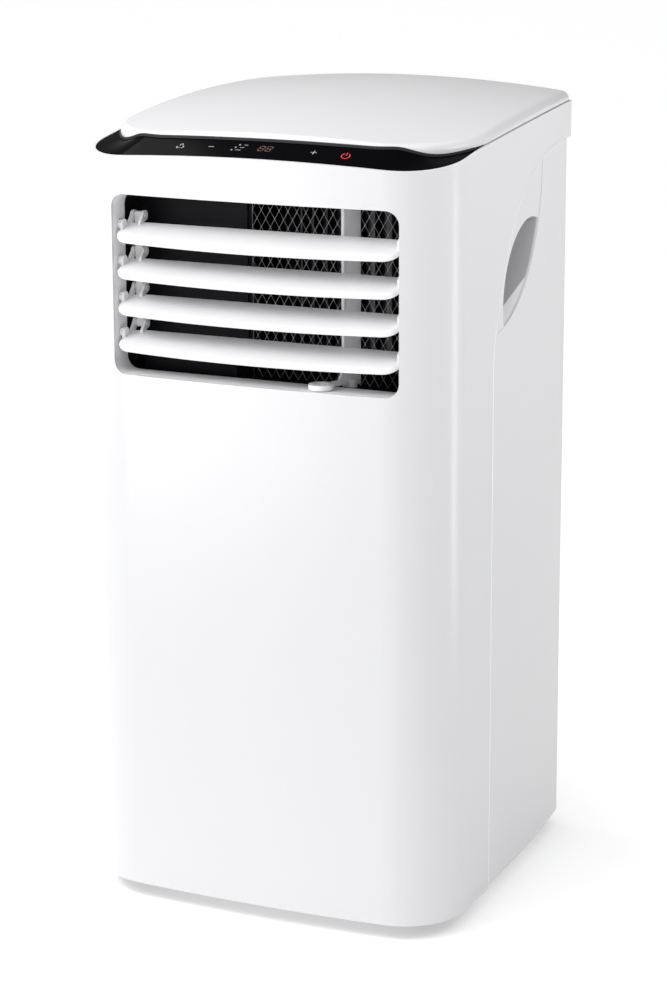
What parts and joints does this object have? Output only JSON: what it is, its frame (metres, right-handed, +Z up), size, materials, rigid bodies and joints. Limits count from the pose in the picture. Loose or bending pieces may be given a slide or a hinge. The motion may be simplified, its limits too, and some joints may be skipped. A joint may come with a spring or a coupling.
{
  "type": "portable air conditioner",
  "caption": "Upright portable air conditioner with tilting front louvres, a swinging vane, grips in its sides, castors, a rear exhaust collar and its cooling parts inside.",
  "frame": {"origin": "on the floor under the middle of the overall box", "axes": "+X to the right seen from the front, +Y to the rear, +Z up"},
  "size_m": [0.345, 0.3594, 0.7126],
  "materials": {
    "white_casing": "satin white",
    "white_lid": "smooth glossy white",
    "white_moving": "satin white",
    "black_gloss": "piano black",
    "circuit_board": "green solder mask",
    "grey_plastic": "light grey, fine texture",
    "dark_plastic": "charcoal",
    "bright_wire": "bright drawn wire",
    "black_fan": "dark satin",
    "motor_steel": "grey enamel",
    "black_paint": "black enamel",
    "black_rubber": "matt",
    "plated_steel": "zinc plated",
    "copper": "copper tube",
    "base_plastic": "grey",
    "filter_net": "fine net",
    "black_plastic": "fine texture",
    "aluminium_can": "drawn can",
    "coil_fins": "fine fins",
    "grey_castor": "grey",
    "castor_tread": "matt"
  },
  "bodies": {
    "casing": {"front_shell": "white_casing", "rear_shell": "white_casing", "top_lid": "white_lid", "lid_seal": "black_rubber", "handle_cup_left": "white_casing", "handle_cup_right": "white_casing", "control_panel": "black_gloss", "display_board": "circuit_board", "outlet_bezel": "grey_plastic", "outlet_duct": "dark_plastic", "guard_mesh": "bright_wire", "upper_scroll_case": "dark_plastic", "lower_scroll_case": "dark_plastic", "upper_fan_motor": "motor_steel", "lower_fan_motor": "motor_steel", "exhaust_duct": "dark_plastic", "exhaust_collar": "grey_plastic", "compressor": "black_paint", "compressor_feet": "black_rubber", "accumulator": "black_paint", "accumulator_bracket": "plated_steel", "refrigerant_tubes": "copper", "drain_tray": "dark_plastic", "base_pan": "base_plastic", "lower_grille": "white_moving", "cord_gland": "black_plastic", "rear_screws": "plated_steel", "control_box": "plated_steel", "control_board": "circuit_board", "run_capacitor": "aluminium_can", "evaporator": "coil_fins", "evaporator_bends": "copper", "condenser": "coil_fins", "condenser_bends": "copper"},
    "louvre_1": {"louvre_1": "white_moving"},
    "louvre_2": {"louvre_2": "white_moving"},
    "louvre_3": {"louvre_3": "white_moving"},
    "louvre_4": {"louvre_4": "white_moving"},
    "tie_bar": {"louvre_tie_bar": "white_moving"},
    "vane": {"vertical_vane": "white_moving"},
    "upper_fan_wheel": {"upper_impeller": "black_fan"},
    "lower_fan_wheel": {"lower_impeller": "black_fan"},
    "filter": {"upper_filter_frame": "white_moving", "upper_filter_mesh": "filter_net"},
    "upper_drain_plug": {"drain_plug_upper": "black_rubber"},
    "lower_drain_plug": {"drain_plug_lower": "black_rubber"},
    "castor_1": {"castor_fork_1": "grey_castor"},
    "castor_1_wheel": {"castor_wheel_1": "castor_tread"},
    "castor_2": {"castor_fork_2": "grey_castor"},
    "castor_2_wheel": {"castor_wheel_2": "castor_tread"},
    "castor_3": {"castor_fork_3": "grey_castor"},
    "castor_3_wheel": {"castor_wheel_3": "castor_tread"},
    "castor_4": {"castor_fork_4": "grey_castor"},
    "castor_4_wheel": {"castor_wheel_4": "castor_tread"}
  },
  "joints": [
    {"name": "louvre_1_tilt", "type": "hinge", "parent": "casing", "child": "louvre_1", "pos_m": [0, -0.1575, 0.609], "axis": [1, 0, 0], "range_deg": [-35, 14]},
    {"name": "louvre_2_tilt", "type": "hinge", "parent": "casing", "child": "louvre_2", "pos_m": [0, -0.1575, 0.5776], "axis": [1, 0, 0], "range_deg": [-35, 14]},
    {"name": "louvre_3_tilt", "type": "hinge", "parent": "casing", "child": "louvre_3", "pos_m": [0, -0.1575, 0.5462], "axis": [1, 0, 0], "range_deg": [-35, 14]},
    {"name": "louvre_4_tilt", "type": "hinge", "parent": "casing", "child": "louvre_4", "pos_m": [0, -0.1575, 0.5148], "axis": [1, 0, 0], "range_deg": [-35, 14]},
    {"name": "tie_bar_pivot", "type": "hinge", "parent": "louvre_1", "child": "tie_bar", "pos_m": [-0.124, -0.13987, 0.6147], "axis": [1, 0, 0], "range_deg": [-14, 35]},
    {"name": "vane_swing", "type": "hinge", "parent": "casing", "child": "vane", "pos_m": [0.0725, -0.1298, 0.56], "axis": [0, 0, 1], "range_deg": [-20, 60]},
    {"name": "upper_fan_spin", "type": "hinge", "parent": "casing", "child": "upper_fan_wheel", "pos_m": [0.035, 0.005, 0.48], "axis": [0, 0, 1], "continuous": true},
    {"name": "lower_fan_spin", "type": "hinge", "parent": "casing", "child": "lower_fan_wheel", "pos_m": [0.02, 0.041, 0.17], "axis": [0, 1, 0], "continuous": true},
    {"name": "castor_1_swivel", "type": "hinge", "parent": "casing", "child": "castor_1", "pos_m": [-0.135, -0.125, 0.036], "axis": [0, 0, 1], "continuous": true},
    {"name": "castor_1_roll", "type": "hinge", "parent": "castor_1", "child": "castor_1_wheel", "pos_m": [-0.135, -0.116, 0.016], "axis": [1, 0, 0], "continuous": true},
    {"name": "castor_2_swivel", "type": "hinge", "parent": "casing", "child": "castor_2", "pos_m": [0.135, -0.125, 0.036], "axis": [0, 0, 1], "continuous": true},
    {"name": "castor_2_roll", "type": "hinge", "parent": "castor_2", "child": "castor_2_wheel", "pos_m": [0.135, -0.116, 0.016], "axis": [1, 0, 0], "continuous": true},
    {"name": "castor_3_swivel", "type": "hinge", "parent": "casing", "child": "castor_3", "pos_m": [-0.12, 0.122, 0.036], "axis": [0, 0, 1], "continuous": true},
    {"name": "castor_3_roll", "type": "hinge", "parent": "castor_3", "child": "castor_3_wheel", "pos_m": [-0.12, 0.131, 0.016], "axis": [1, 0, 0], "continuous": true},
    {"name": "castor_4_swivel", "type": "hinge", "parent": "casing", "child": "castor_4", "pos_m": [0.12, 0.122, 0.036], "axis": [0, 0, 1], "continuous": true},
    {"name": "castor_4_roll", "type": "hinge", "parent": "castor_4", "child": "castor_4_wheel", "pos_m": [0.12, 0.131, 0.016], "axis": [1, 0, 0], "continuous": true},
    {"name": "filter_slide", "type": "slide", "parent": "casing", "child": "filter", "axis": [0, 1, 0], "range_m": [0, 0.06]},
    {"name": "upper_plug_pull", "type": "slide", "parent": "casing", "child": "upper_drain_plug", "axis": [0, 1, 0], "range_m": [0, 0.02]},
    {"name": "lower_plug_pull", "type": "slide", "parent": "casing", "child": "lower_drain_plug", "axis": [0, 1, 0], "range_m": [0, 0.02]}
  ],
  "couplings": [
    {"joint": "louvre_2_tilt", "follows": "louvre_1_tilt", "ratio": 1},
    {"joint": "louvre_3_tilt", "follows": "louvre_1_tilt", "ratio": 1},
    {"joint": "louvre_4_tilt", "follows": "louvre_1_tilt", "ratio": 1},
    {"joint": "tie_bar_pivot", "follows": "louvre_1_tilt", "ratio": -1}
  ]
}
